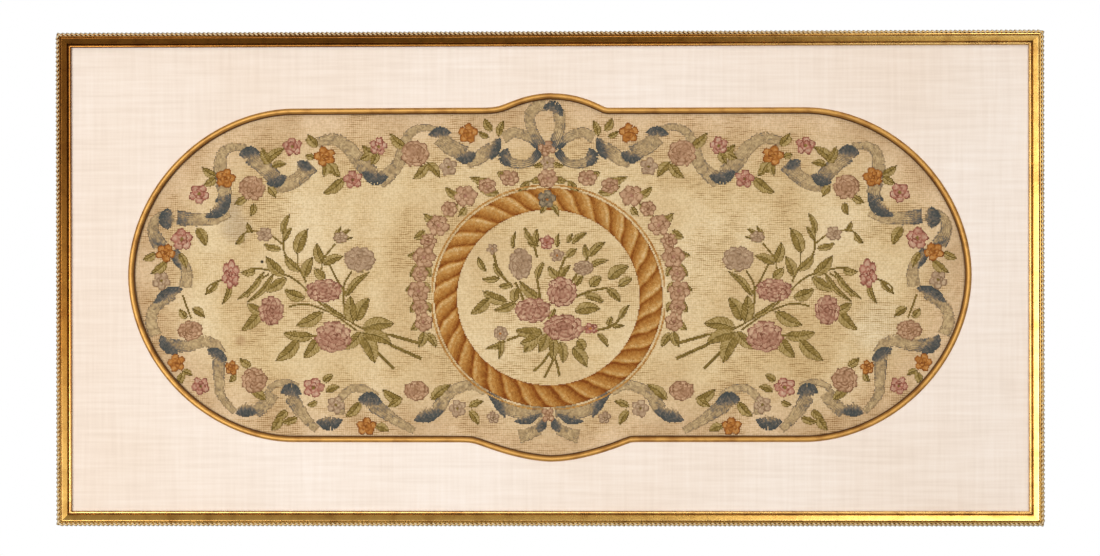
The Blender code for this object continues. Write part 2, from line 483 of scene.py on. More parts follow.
edge = outline()
following = np.roll(edge, -1, axis=0)
opening_area = abs((edge[:, 0] * following[:, 1] - following[:, 0] * edge[:, 1]).sum()) / 2
print("the opening's outline has", len(edge), "points and", round(opening_area, 4), "square metres")

# %% [markdown]
# The gilt fillet is a thin half-round band that hides the mat's cut edge. It is one section
# carried round the outline, so a grid does it: one way round the opening, the other way
# across the section. Each vertex moves to its place and the two seams are merged.


# %% Grid helper and the gilt fillet
FILLET_WIDTH = 7.6 * MM
FILLET_FACE = 6.3 * MM
FILLET_CROWN = 2.6 * MM
FILLET_STEM = 4.2 * MM
FILLET_LIFT = 0.05 * MM
FILLET_DEPTH = 4.0 * MM


def grid_mesh(name, places):
    """A grid of quads whose vertices lie at places, an array of rows by columns by xyz."""
    rows, columns = places.shape[:2]
    bm = bmesh.new()
    bmesh.ops.create_grid(bm, x_segments=columns - 1, y_segments=rows - 1, size=1)
    mesh = bpy.data.meshes.new(name)
    bm.to_mesh(mesh)
    bm.free()
    mesh.vertices.foreach_set("co", places.reshape(-1).astype(np.float32))
    return mesh


def closed_mesh(name, rings, smooth=False):
    """A grid carried all the way round: its seams are merged and it faces outwards."""
    mesh = grid_mesh(name, np.array(rings))
    bm = bmesh.new()
    bm.from_mesh(mesh)
    bmesh.ops.remove_doubles(bm, verts=bm.verts, dist=0.01 * MM)
    bmesh.ops.recalc_face_normals(bm, faces=bm.faces)
    for face in bm.faces:
        face.smooth = smooth
    bm.to_mesh(mesh)
    bm.free()
    return mesh


def fillet_section():
    """The closed section: inset from the outer edge, and distance in front of the mat."""
    half = FILLET_FACE / 2
    crown = np.linspace(math.pi, 0, 17)
    face = [(half + half * math.cos(t), FILLET_LIFT + FILLET_CROWN * math.sin(t)) for t in crown]
    step = [(6.5 * MM, -0.55 * MM), (7.1 * MM, -0.6 * MM), (FILLET_WIDTH, -1.0 * MM)]
    back = [(FILLET_WIDTH, -FILLET_DEPTH), (FILLET_STEM, -FILLET_DEPTH), (FILLET_STEM, FILLET_LIFT)]
    return face + step + back + face[:1]


rings = []
for inset, ahead in fillet_section():
    loop = outline(inset)
    loop = np.vstack([loop, loop[:1]])
    rings.append(np.column_stack([loop[:, 0], np.full(len(loop), MAT_FACE - ahead), loop[:, 1]]))
fillet_mesh = closed_mesh("gilt_band", rings, smooth=True)
fillet_mesh.set_sharp_from_angle(angle=math.radians(40))


def gilt_fillet():
    """Gold leaf on a thin wooden band, with painted shade: darker the further back it lies, almost black on
    its inner step.
    """
    material, tree, shader, place = new_material("gilded_fillet", 0.5, 0.7)
    parts = add(tree, "ShaderNodeSeparateXYZ", Vector=place)
    # painted shade: the leaf colour darkens with depth behind the crown, down to near black on the inner
    # step
    nearest, reach = MAT_FACE - 3 * MM, 4 * MM
    depth = maths(tree, "MULTIPLY_ADD", parts.outputs["Y"], 1 / reach, -nearest / reach)
    leaf = ramp(tree, depth, [(0.0, "#CB9A50"), (0.6, "#BF8C44"), (0.78, "#8E6026"), (0.84, "#5E3C17")])
    worn = ramp(tree, noise(tree, place, 60, 6), [(0.32, "#A87E48"), (0.52, "#FFFFFF")])
    tree.links.new(mixed(tree, 0.5, leaf, worn, "MULTIPLY"), shader.inputs["Base Color"])
    bump(tree, shader, noise(tree, place, 500, 3), 0.08 * MM)
    return material


dressed("gilt_band", fillet_mesh, gilt_fillet(), ["gilt_fillet"])
print("fillet has", len(fillet_mesh.polygons), "faces")

# %% [markdown]
# The moulding's main face is a flat bevel, and the one broad band that catches the light. The
# plain model leaves it a little hollow, as the bare wood is before it is coated. Gesso and
# leaf fill the hollow, so the coat is a thin flat slip, carried round all four rails.

# %% Gesso on the main face
# how far in from the outer side and how far in front of the back, in mm
FACE_SECTION = [(6.35, 20.0), (12.0, 17.45), (12.0, 16.6), (6.35, 19.0), (6.35, 20.0)]
rings = []
for inset, height in FACE_SECTION:
    right, top = HALF_WIDTH - inset * MM, HALF_HEIGHT - inset * MM
    corners = [(right, top), (-right, top), (-right, -top), (right, -top), (right, top)]
    rings.append([(x, -height * MM, z) for x, z in corners])
face_mesh = closed_mesh("gesso_face", rings)
dressed("gesso_face", face_mesh, gilding)
print("coated the main face with", len(face_mesh.polygons), "faces")

# %% [markdown]
# The needlework is charted as a needlewoman would chart it: one square for each stitch, at
# 20 stitches to the inch, where the bare canvas has 10 threads. Small painters lay leaves,
# flowers, ribbon and rope on the chart. Each square keeps which piece it belongs to, which
# set of wools, how light it is, and how far it stands up.

# %% The chart
STITCH = 1.27
CHART_COLUMNS = 800
CHART_ROWS = 350
random = np.random.default_rng(20)
column_x = (np.arange(CHART_COLUMNS) - (CHART_COLUMNS - 1) / 2) * STITCH
row_z = (np.arange(CHART_ROWS) - (CHART_ROWS - 1) / 2) * STITCH
chart_x, chart_z = np.meshgrid(column_x, row_z)
chart = {
    "piece": np.zeros(chart_x.shape, int),
    "wool": np.zeros(chart_x.shape, int),
    "tone": np.zeros(chart_x.shape),
    "rise": np.zeros(chart_x.shape),
}
PIECES = [
    "none",
    "ribbon_garland",
    "garland_flowers",
    "garland_leaves",
    "rope_ring",
    "ring_swag",
    "centre_bouquet",
    "side_sprays",
]
# each set of wools runs from its darkest skein to its lightest
WOOLS = {
    "leaf": ["#5F4C1E", "#755F2A", "#887036", "#9B8348", "#B39A65"],
    "rose": ["#7A4C37", "#986750", "#B08269", "#C49C7E", "#D8B896"],
    "blush": ["#865F40", "#9C7553", "#B08767", "#C09977", "#D0AD89"],
    "pale": ["#8C7054", "#A28465", "#B5987A", "#C8AE8C"],
    "orange": ["#82491D", "#9F6229", "#B57634", "#C8965A"],
    "coral": ["#824C3C", "#A0634F", "#B37A66", "#C1957B", "#D1AF95"],
    "ribbon": ["#454A49", "#54544F", "#68625A", "#82725E", "#9F8762", "#B3986F", "#C3A97D", "#D1B98C"],
    "rope": ["#80420F", "#985E21", "#AB7332", "#BA8643", "#CA9F60", "#DDBA88"],
    "star": ["#5E5240", "#7A6C58", "#8F7D60", "#A69272"],
}
WOOL_NAMES = list(WOOLS)


def lay(piece, wool, spot, mask, tone, rise):
    """Puts stitches on the chart where mask says, over what is already there."""
    rows, columns = spot
    for name, value in (
        ("piece", PIECES.index(piece)),
        ("wool", WOOL_NAMES.index(wool)),
        ("tone", tone),
        ("rise", rise),
    ):
        view = chart[name][rows, columns]
        view[mask] = np.broadcast_to(value, view.shape)[mask]


def spot_around(low_x, high_x, low_z, high_z):
    """The part of the chart inside a box in mm, with its x and z at each square."""
    columns = slice(*np.searchsorted(column_x, (low_x, high_x)))
    rows = slice(*np.searchsorted(row_z, (low_z, high_z)))
    return (rows, columns), chart_x[rows, columns], chart_z[rows, columns]


# %% [markdown]
# A leaf is a pointed oval along its midrib, lit on one half. A stem is a thin curved line. A
# ribbon is a broad one. All three need the same thing: for each square near a smooth curve,
# how far along it lies and how far to one side. Old hand work is never even, so soft random
# patches are laid over the chart too, and every painter lets them nudge its edge and tone.


# %% Unevenness, lines, leaf and stem
def mottle(size):
    """Soft random patches over the chart, from -1 to 1, about size mm across."""
    down = int(CHART_ROWS * STITCH / size) + 2
    right = int(CHART_COLUMNS * STITCH / size) + 2
    coarse = random.uniform(-1, 1, (down, right))
    rows = np.linspace(0, down - 1.001, CHART_ROWS)
    columns = np.linspace(0, right - 1.001, CHART_COLUMNS)
    row, column = rows.astype(int), columns.astype(int)
    part_down, part_right = (rows - row)[:, None], (columns - column)[None, :]
    upper = coarse[row][:, column] * (1 - part_right) + coarse[row][:, column + 1] * part_right
    lower = coarse[row + 1][:, column] * (1 - part_right) + coarse[row + 1][:, column + 1] * part_right
    return upper * (1 - part_down) + lower * part_down


fine = mottle(2.2)
patch = mottle(6)


def smooth_line(points, steps=6):
    """A Catmull-Rom curve through the points."""
    points = np.array(points, float)
    padded = np.vstack([2 * points[0] - points[1], points, 2 * points[-1] - points[-2]])
    parts = np.linspace(0, 1, steps, endpoint=False)[:, None]
    line = []
    for a, b, c, d in zip(padded, padded[1:], padded[2:], padded[3:]):
        bend = 2 * b + (c - a) * parts + (2 * a - 5 * b + 4 * c - d) * parts**2
        line.append((bend + (3 * b - a - 3 * c + d) * parts**3) / 2)
    return np.vstack([*line, points[-1:]])


def along_line(line, reach):
    """The chart near a line: the share of its length, the offset to its side, the overrun."""
    low, high = line.min(axis=0) - reach, line.max(axis=0) + reach
    spot, x, z = spot_around(low[0], high[0], low[1], high[1])
    step = np.diff(line, axis=0)
    lengths = np.linalg.norm(step, axis=1)
    travelled = np.concatenate([[0], np.cumsum(lengths)])
    best = np.full(x.shape, np.inf)
    share, side, overrun = np.zeros(x.shape), np.zeros(x.shape), np.zeros(x.shape)
    for index, (start, run, length) in enumerate(zip(line, step, lengths)):
        ux, uz = run / length
        ahead = (x - start[0]) * ux + (z - start[1]) * uz
        offset = (z - start[1]) * ux - (x - start[0]) * uz
        held = ahead.clip(0, length)
        gap = np.hypot(ahead - held, offset)
        nearer = gap < best
        best[nearer] = gap[nearer]
        share[nearer] = ((travelled[index] + held) / travelled[-1])[nearer]
        side[nearer] = offset[nearer]
        overrun[nearer] = np.abs(ahead - held)[nearer]
    return spot, share, side, overrun


def leaf(piece, tip_x, tip_z, base_x, base_z, width):
    """A pointed leaf: veined, lit on one half, dark along its midrib and its edge."""
    base, tip = np.array((base_x, base_z), float), np.array((tip_x, tip_z), float)
    run = tip - base
    length = np.hypot(*run)
    bend = np.array((-run[1], run[0])) * 0.08
    spot, share, side, overrun = along_line(smooth_line([base, base + run / 2 + bend, tip]), width)
    half = 0.6 * width * np.sin(math.pi * share.clip(0, 1) ** 0.8) ** 0.7 + 0.3 + 0.5 * fine[spot]
    mask = (np.abs(side) < half) & (overrun < 0.8)
    veins = np.sin((share * length - 0.8 * np.abs(side)) * 2 * math.pi / 3.6)
    tone = np.where(side > 0, 0.88, 0.56) + 0.2 * veins + 0.28 * fine[spot]
    tone = np.where(np.abs(side) < 0.6, 0.1, tone)
    tone = np.where(half - np.abs(side) < 0.9, tone - 0.3, tone)
    lay(piece, "leaf", spot, mask, tone, 0.12 + 0.3 * (1 - (side / (half + 0.1)) ** 2).clip(0))


def stem(piece, points, width=2.3):
    """A thin curved line through the points, in the darker leaf wools."""
    spot, _, side, overrun = along_line(smooth_line(points), width)
    mask = (np.abs(side) < width / 2) & (overrun < 0.5)
    lay(piece, "leaf", spot, mask, 0.34 + 0.2 * fine[spot], 0.15)


# %% [markdown]
# The ribbon is shaded in long and short stitches. Its pale face is mottled and soft at the
# edges. Where it turns over, a pointed dark patch shows its back, solid along the fold and
# breaking into streaks on the side where the face comes out.


# %% Ribbon face and ribbon turn
def ribbon_face(start_width, end_width, dark_start, dark_end, points):
    """One run of the ribbon's pale side; dark_start and dark_end say how deep its ends are."""
    spot, share, side, overrun = along_line(smooth_line(points), max(start_width, end_width))
    half = (start_width + (end_width - start_width) * share) / 2
    mask = (np.abs(side) < half + 1.1 * fine[spot]) & (overrun < 0.7)
    across = side / half
    streaks = 0.5 + 0.5 * np.sin(side * 2.6 + 1.3 * patch[spot])
    tone = 0.76 - 0.08 * across**2 + 0.2 * fine[spot] + 0.1 * patch[spot] - 0.05 * streaks
    tone -= 0.72 * dark_start * np.exp(-((share / (0.16 + 0.22 * streaks)) ** 2))
    tone -= 0.72 * dark_end * np.exp(-(((1 - share) / (0.16 + 0.22 * streaks)) ** 2))
    tone = np.where(half - np.abs(side) < 1.1, tone - 0.12, tone)
    lay("ribbon_garland", "ribbon", spot, mask, tone, 0.2 + 0.25 * (1 - across**2).clip(0))


def ribbon_turn(width, fade, points):
    """The dark back at a fold; fade is the side, 1 left of its run or -1 right, it breaks into."""
    line = smooth_line(points)
    length = np.linalg.norm(np.diff(line, axis=0), axis=1).sum()
    spot, share, side, overrun = along_line(line, width)
    teeth = 0.5 + 0.5 * np.sin(share * length * 2.4 + 2 * patch[spot]) * np.sin(share * length * 1.1)
    full = 0.55 * width * np.sin(math.pi * share.clip(0.001, 0.999)) ** 0.8
    half = np.where(side * fade > 0, full * (0.75 + 0.7 * teeth), full)
    mask = (np.abs(side) < half + 0.6 * fine[spot]) & (overrun < 0.5)
    toward = side * fade / (width / 2)
    tone = 0.04 + 0.3 * teeth * (1 - np.abs(toward)).clip(0) + 0.14 * fine[spot]
    tone += 0.6 * ((toward - 0.1) / 1.1).clip(0, 1)
    lay("ribbon_garland", "ribbon", spot, mask, tone, 0.2 + 0.3 * (1 - toward**2).clip(0))


# %% [markdown]
# Every flower is a heap of small round petals, ring upon ring, each ring laid over the last.
# A petal is pale in the middle and darker along its rim, so the rims make the curly lines of
# an embroidered rose. A rose has three rings, a small flower two.

# %% Flowers
# how far out the petals stand and how large they are, as shares of the flower, and how many
ROSE_RINGS = [(0.62, 0.40, 9), (0.42, 0.33, 7), (0.20, 0.27, 4), (0.0, 0.2, 1)]
FLOWER_RINGS = [(0.60, 0.42, 6), (0.26, 0.30, 4), (0.0, 0.2, 1)]
FLOWER_MARGIN = 3
PETAL_RIM = 1.5


def polar(centre_x, centre_z, wide, high):
    """The chart round a flower: its radius as a share of its size, and the angle."""
    half_x, half_z = wide + FLOWER_MARGIN, high + FLOWER_MARGIN
    spot, x, z = spot_around(centre_x - half_x, centre_x + half_x, centre_z - half_z, centre_z + half_z)
    across, up = (x - centre_x) / wide, (z - centre_z) / high
    return spot, np.hypot(across, up), np.arctan2(up, across)


def rose(piece, centre_x, centre_z, wide, high, wool="rose", rings=ROSE_RINGS):
    """A full flower: its petals from the outer ring inwards, each laid over the last."""
    spot, radius, angle = polar(centre_x, centre_z, wide, high)
    across, up = radius * np.cos(angle), radius * np.sin(angle)
    rim_width = PETAL_RIM / min(wide, high)
    first = random.uniform(0, math.pi)
    mask = np.zeros(radius.shape, bool)
    tone, rise = np.zeros(radius.shape), np.zeros(radius.shape)
    for layer, (out, size, count) in enumerate(rings):
        for index in range(count):
            turn = first + 2 * math.pi * index / count
            off = np.hypot(across - out * math.cos(turn), up - out * math.sin(turn)) / size
            off += 0.22 * fine[spot]
            petal = off < 1
            pale = 0.86 - 0.1 * layer - 0.3 * off + 0.2 * patch[spot]
            pale = np.where(off > 1 - rim_width / size, 0.24 + 0.34 * fine[spot], pale)
            tone[petal] = pale[petal]
            rise[petal] = 0.2 + 0.12 * layer + 0.15 * (1 - off[petal] ** 2)
            mask |= petal
        first += math.pi / count
    lay(piece, wool, spot, mask, tone, rise)


def daisy(piece, centre_x, centre_z, size, wool, petals=5, eye="orange", high=None):
    """A small open flower, with a few threads of another wool in its eye."""
    rings = [(FLOWER_RINGS[0][0], FLOWER_RINGS[0][1], petals), *FLOWER_RINGS[1:]]
    rose(piece, centre_x, centre_z, 1.1 * size, 1.1 * (high or size), wool, rings)
    spot, radius, _ = polar(centre_x, centre_z, size, high or size)
    lay(piece, eye, spot, radius < 0.16 + 0.1 * fine[spot], 0.3 + 0.3 * fine[spot], 0.55)


# %% [markdown]
# The ribbon garland runs round the whole panel. Only the left half is laid out, in mm from
# the middle line and from the frame's centre, because the right half is its mirror image.
# The ribbon turns over every few centimetres, so it is short runs, pale face and dark side.

# %% The ribbon of the garland
# width at each end, how dark each end is, then the points that the run passes through
RIBBON_FACES = [
    (9, 14, 0.9, 0.0, [(-11, 159), (-25, 171), (-41, 176), (-54, 170)]),
    (12, 10, 0.7, 0.9, [(-54, 154), (-47, 141), (-34, 138), (-20, 142), (-11, 153)]),
    (19, 19, 0.2, 0.3, [(-131, 170), (-118, 159), (-101, 151)]),
    (15, 18, 0.0, 0.3, [(-98, 141), (-84, 146), (-68, 157)]),
    (
        7,
        19,
        0.0,
        0.0,
        [(-134, 181), (-154, 182), (-168, 175), (-175, 159), (-180, 142), (-190, 128), (-204, 117)],
    ),
    (12, 20, 0.0, 0.2, [(-278, 165), (-258, 169), (-240, 157), (-226, 140), (-214, 128)]),
    (18, 17, 0.4, 0.0, [(-286, 137), (-300, 123), (-314, 115), (-332, 113)]),
    (19, 19, 0.4, 0.4, [(-361, 148), (-346, 138), (-330, 122)]),
    (7, 19, 0.0, 0.2, [(-365, 159), (-383, 159), (-394, 151), (-397, 136), (-395, 121)]),
    (18, 15, 0.2, 0.8, [(-394, 118), (-391, 103), (-395, 91)]),
    (12, 18, 0.0, 0.5, [(-386, 80), (-404, 73), (-425, 72), (-448, 74)]),
    (6, 18, 0.0, 0.4, [(-456, 82), (-473, 74), (-478, 59), (-470, 41)]),
    (13, 15, 0.5, 0.0, [(-454, 33), (-443, 20), (-437, 8), (-439, -9)]),
    (12, 15, 0.2, 0.0, [(-454, -19), (-474, -33), (-481, -50), (-475, -67)]),
    (15, 13, 0.4, 0.0, [(-458, -79), (-438, -81), (-416, -75), (-403, -80), (-396, -90)]),
    (16, 8, 0.2, 0.0, [(-399, -98), (-398, -120), (-396, -140), (-380, -160)]),
    (15, 17, 0.3, 0.0, [(-354, -161), (-343, -151), (-334, -138)]),
    (8, 8, 0.0, 0.0, [(-338, -133), (-328, -126), (-314, -125), (-303, -130)]),
    (18, 9, 0.4, 0.0, [(-311, -142), (-301, -158), (-292, -170), (-280, -181)]),
    (9, 10, 0.0, 0.0, [(-250, -163), (-252, -148), (-244, -136), (-230, -131), (-218, -135), (-208, -142)]),
    (18, 8, 0.4, 0.0, [(-212, -151), (-199, -161), (-182, -172), (-163, -183)]),
    (16, 10, 0.2, 0.0, [(-134, -157), (-124, -142), (-114, -134), (-102, -129), (-88, -129), (-76, -136)]),
    (14, 15, 0.2, 0.2, [(-56, -153), (-41, -160), (-24, -158), (-8, -160)]),
    (13, 16, 0.0, 0.0, [(-12, -182), (-24, -187), (-35, -190)]),
]
# width, the side on which it breaks into streaks, then its points from tip to tip
RIBBON_TURNS = [
    (12, -1, [(-145, 174), (-131, 177), (-117, 176)]),
    (13, 1, [(-111, 144), (-98, 146), (-87, 152)]),
    (12, -1, [(-58, 170), (-64, 158), (-69, 143)]),
    (11, 1, [(-49, 157), (-55, 147), (-46, 135)]),
    (16, 1, [(-225, 129), (-209, 122), (-193, 123)]),
    (12, -1, [(-303, 142), (-294, 136), (-285, 133)]),
    (14, -1, [(-374, 150), (-361, 153), (-348, 153)]),
    (15, 1, [(-341, 115), (-328, 119), (-316, 124)]),
    (14, 1, [(-415, 75), (-397, 83), (-384, 103)]),
    (17, 1, [(-460, 86), (-462, 72), (-460, 60)]),
    (8, 1, [(-475, 44), (-464, 40), (-454, 35)]),
    (7, 1, [(-457, 32), (-450, 22), (-444, 12)]),
    (12, 1, [(-442, -11), (-461, -17), (-477, -29)]),
    (14, 1, [(-469, -68), (-462, -80), (-448, -90)]),
    (13, -1, [(-413, -85), (-401, -90), (-389, -99)]),
    (14, 1, [(-378, -162), (-365, -159), (-352, -161)]),
    (15, -1, [(-324, -137), (-311, -134), (-299, -139)]),
    (15, 1, [(-281, -172), (-264, -175), (-249, -170)]),
    (16, -1, [(-231, -146), (-216, -145), (-201, -149)]),
    (14, 1, [(-163, -171), (-145, -165), (-127, -159)]),
    (11, 1, [(-75, -136), (-62, -148), (-53, -167)]),
    (9, 1, [(-42, -172), (-24, -170), (-10, -163)]),
    (11, -1, [(-5, -168), (-9, -177), (-13, -185)]),
]
for start_width, end_width, dark_start, dark_end, points in RIBBON_FACES:
    ribbon_face(start_width, end_width, dark_start, dark_end, points)
for width, fade, points in RIBBON_TURNS:
    ribbon_turn(width, fade, points)
print(len(RIBBON_FACES), "faces and", len(RIBBON_TURNS), "turns of ribbon in the left half")

# %% [markdown]
# Leaves and flowers are tucked round the ribbon. Each leaf is given by its tip, its base and
# its width, and each flower by its centre and its size.

# %% Leaves and flowers of the garland
GARLAND_LEAVES = [
    (-77, 193, -68, 178, 8),
    (-54, 190, -60, 172, 7),
    (-84, 177, -72, 171, 6),
    (-191, 175, -172, 158, 9),
    (-163, 121, -146, 138, 9),
    (-132, 123, -146, 140, 9),
    (-227, 144, -210, 157, 9),
    (-272, 103, -247, 121, 10),
    (-293, 169, -278, 163, 7),
    (-252, 123, -271, 139, 9),
    (-319, 158, -343, 139, 9),
    (-346, 158, -336, 139, 8),
    (-317, 139, -334, 136, 7),
    (-379, 91, -366, 99, 8),
    (-360, 76, -356, 91, 7),
    (-330, 99, -338, 111, 8),
    (-418, 135, -401, 124, 8),
    (-416, 114, -402, 122, 8),
    (-414, 40, -425, 62, 10),
    (-290, 174, -279, 160, 9),
    (-293, 150, -283, 147, 7),
    (-256, 126, -266, 140, 9),
    (-271, 124, -268, 140, 8),
    (-224, 160, -210, 151, 8),
    (-214, 138, -207, 152, 8),
    (-490, 24, -475, 31, 8),
    (-480, 7, -462, 21, 9),
    (-438, 14, -446, 31, 7),
    (-416, -46, -430, -35, 8),
    (-446, -36, -437, -47, 7),
    (-450, -128, -443, -113, 8),
    (-431, -116, -443, -111, 6),
    (-373, -96, -360, -105, 8),
    (-385, -125, -380, -113, 6),
    (-342, -146, -359, -135, 9),
    (-335, -182, -324, -167, 9),
    (-329, -167, -316, -159, 8),
    (-322, -173, -304, -167, 7),
    (-260, -116, -272, -124, 7),
    (-253, -130, -269, -136, 7),
    (-292, -152, -280, -148, 6),
    (-245, -166, -228, -149, 9),
    (-193, -184, -210, -177, 8),
    (-200, -134, -178, -148, 10),
    (-194, -154, -178, -142, 8),
    (-119, -128, -142, -146, 9),
    (-79, -148, -96, -154, 7),
    (-85, -176, -96, -159, 8),
]
for row in GARLAND_LEAVES:
    leaf("garland_leaves", *row)
stem("garland_leaves", [(-442, -20), (-437, -34), (-432, -47)])

# centre x and z, width and height from the centre, kind of flower
GARLAND_FLOWERS = [
    (-97, 175, 11, 11, "orange"),
    (-270, 148, 12, 11, "orange"),
    (-390, 122, 11, 11, "orange"),
    (-463, 32, 11, 10, "orange"),
    (-450, -101, 10, 10, "orange"),
    (-383, -107, 8, 8, "orange"),
    (-220, -178, 11, 10, "orange"),
    (-161, 151, 17, 16, "blush"),
    (-358, 110, 16, 15, "blush"),
    (-433, -62, 15, 12, "blush"),
    (-356, -122, 16, 15, "blush"),
    (-160, -135, 15, 12, "blush"),
    (-205, 160, 10, 10, "coral"),
    (-236, 120, 11, 10, "coral"),
    (-284, -131, 12, 11, "coral"),
    (-422, 103, 11, 11, "coral"),
    (-443, 48, 12, 12, "coral"),
    (-421, -129, 10, 10, "coral"),
    (-121, 135, 10, 10, "pale"),
    (-309, 160, 11, 10, "coral"),
    (-468, -2, 10, 10, "pale"),
    (-257, -152, 10, 10, "pale"),
    (-110, -156, 10, 10, "pale"),
    (-67, -167, 7, 7, "pale"),
]
for x, z, wide, high, wool in GARLAND_FLOWERS:
    if wool == "blush":
        rose("garland_flowers", x, z, wide, high, wool)
    else:
        daisy("garland_flowers", x, z, wide, wool, high=high, eye="rope" if wool == "orange" else "leaf")
print(len(GARLAND_LEAVES), "leaves and", len(GARLAND_FLOWERS), "flowers in half the garland")

# %% [markdown]
# Half a wreath of small roses and leaf pairs hangs outside the rope ring, and a spray of
# roses on branching stems stands in each side field.

# %% Ring swag and side spray
SWAG_FLOWERS = [
    (-47, 121, 11, 9),
    (-74, 112, 10, 9),
    (-100, 100, 13, 12),
    (-120, 84, 9, 9),
    (-133, 64, 12, 12),
    (-145, 45, 9, 9),
    (-150, 26, 13, 12),
    (-155, 6, 9, 9),
    (-157, -15, 12, 12),
    (-155, -34, 9, 9),
    (-151, -52, 10, 11),
]
SWAG_LEAVES = [
    (-22, 118, -8, 121, 7),
    (-18, 136, -6, 139, 6),
    (-36, 106, -24, 118, 7),
    (-62, 128, -48, 124, 7),
    (-95, 123, -66, 116, 8),
    (-86, 111, -60, 103, 8),
    (-124, 110, -108, 98, 8),
    (-126, 76, -110, 90, 8),
    (-108, 76, -100, 86, 7),
    (-150, 78, -136, 68, 8),
    (-162, 49, -149, 58, 8),
    (-149, 38, -144, 54, 6),
    (-170, 28, -154, 32, 7),
    (-168, 3, -157, 18, 8),
    (-142, 2, -150, 15, 7),
    (-173, -14, -160, -6, 7),
    (-143, -16, -152, -5, 6),
    (-167, -40, -159, -26, 8),
    (-142, -40, -150, -28, 7),
    (-166, -62, -154, -48, 8),
    (-157, -82, -150, -64, 9),
    (-136, -82, -147, -66, 8),
]
for row in SWAG_LEAVES:
    leaf("ring_swag", *row)
for x, z, wide, high in SWAG_FLOWERS:
    daisy("ring_swag", x, z, wide, "blush", petals=6, eye="rose", high=high)

SPRAY_STEMS = [
    [(-158, -77), (-190, -68), (-224, -60), (-245, -48), (-274, -36), (-294, -30), (-313, -33)],
    [(-154, -96), (-190, -80), (-224, -64)],
    [(-187, -108), (-205, -90), (-224, -68)],
    [(-245, -48), (-247, -33), (-247, -8), (-238, 9)],
    [(-232, -62), (-262, -40), (-284, -22), (-302, -4), (-320, 6), (-353, 13), (-370, 8)],
    [(-391, 1), (-410, -8), (-414, -18)],
    [(-293, -4), (-301, 12), (-317, 28), (-320, 45), (-316, 72)],
    [(-274, 12), (-272, 24), (-258, 42)],
    [(-303, 33), (-303, 8)],
    [(-322, 43), (-338, 54), (-360, 58), (-371, 52), (-375, 44)],
    [(-245, -18), (-258, 4), (-266, 20)],
    [(-338, 6), (-352, -4), (-364, -22)],
    [(-268, -69), (-286, -68)],
]
SPRAY_LEAVES = [
    (-313, 78, -321, 54, 6),
    (-310, 62, -320, 46, 6),
    (-291, 60, -304, 31, 12),
    (-280, 43, -273, 19, 10),
    (-248, 27, -272, 18, 9),
    (-341, 27, -319, 4, 11),
    (-319, 28, -300, 10, 9),
    (-285, 26, -295, 2, 10),
    (-346, -14, -317, 1, 10),
    (-319, -13, -295, -23, 11),
    (-282, 13, -270, 1, 9),
    (-371, -62, -346, -35, 11),
    (-364, -29, -346, -40, 9),
    (-305, -56, -273, -40, 12),
    (-320, -65, -285, -69, 11),
    (-329, -98, -302, -74, 12),
    (-296, -95, -278, -71, 12),
    (-217, -23, -232, -50, 13),
    (-239, -21, -236, -52, 13),
    (-187, -54, -224, -60, 14),
    (-210, -101, -226, -66, 15),
    (-248, -84, -226, -64, 11),
    (-190, -78, -224, -65, 13),
    (-217, 8, -245, -21, 7),
    (-272, -29, -247, -46, 6),
    (-364, -28, -332, 6, 6),
    (-376, -25, -344, 8, 6),
    (-394, -30, -384, -5, 6),
    (-414, -18, -399, -2, 5),
    (-371, 8, -354, 10, 7),
    (-378, 42, -368, 54, 6),
    (-364, 68, -358, 56, 5),
    (-344, 42, -323, 36, 7),
    (-250, 63, -258, 46, 5),
    (-239, 60, -256, 46, 5),
    (-237, 50, -256, 43, 5),
    (-224, 8, -232, 12, 6),
]
for points in SPRAY_STEMS:
    stem("side_sprays", points)
for points in SPRAY_STEMS[:3]:
    stem("side_sprays", points[:2], width=4)
for row in SPRAY_LEAVES:
    leaf("side_sprays", *row)
rose("side_sprays", -228, 24, 19, 15, "pale")
rose("side_sprays", -343, 54, 10, 9, "pale", FLOWER_RINGS)
rose("side_sprays", -251, 50, 9, 7, "pale", FLOWER_RINGS)
rose("side_sprays", -384, 6, 11, 17, "coral", FLOWER_RINGS)
rose("side_sprays", -271, -14, 22, 14)
rose("side_sprays", -335, -38, 15, 18)
rose("side_sprays", -260, -70, 22, 19)
print("laid half the swag and one spray")

# %% [markdown]
# Now the left half is mirrored onto the right. What stands on the middle line comes after:
# the rope ring, the bouquet inside it, the bow at its top and the knot below.

# %% Mirror the chart, then the rope ring
for name, values in chart.items():
    values[:, CHART_COLUMNS // 2 :] = values[:, CHART_COLUMNS // 2 - 1 :: -1]

RING_CENTRE = (-0.4, -22.6)
RING_WIDE = 137.6
RING_HIGH = 132.0
RING_INNER = 0.8
RING_TWISTS = 34
STRAND_RUN = 1.35


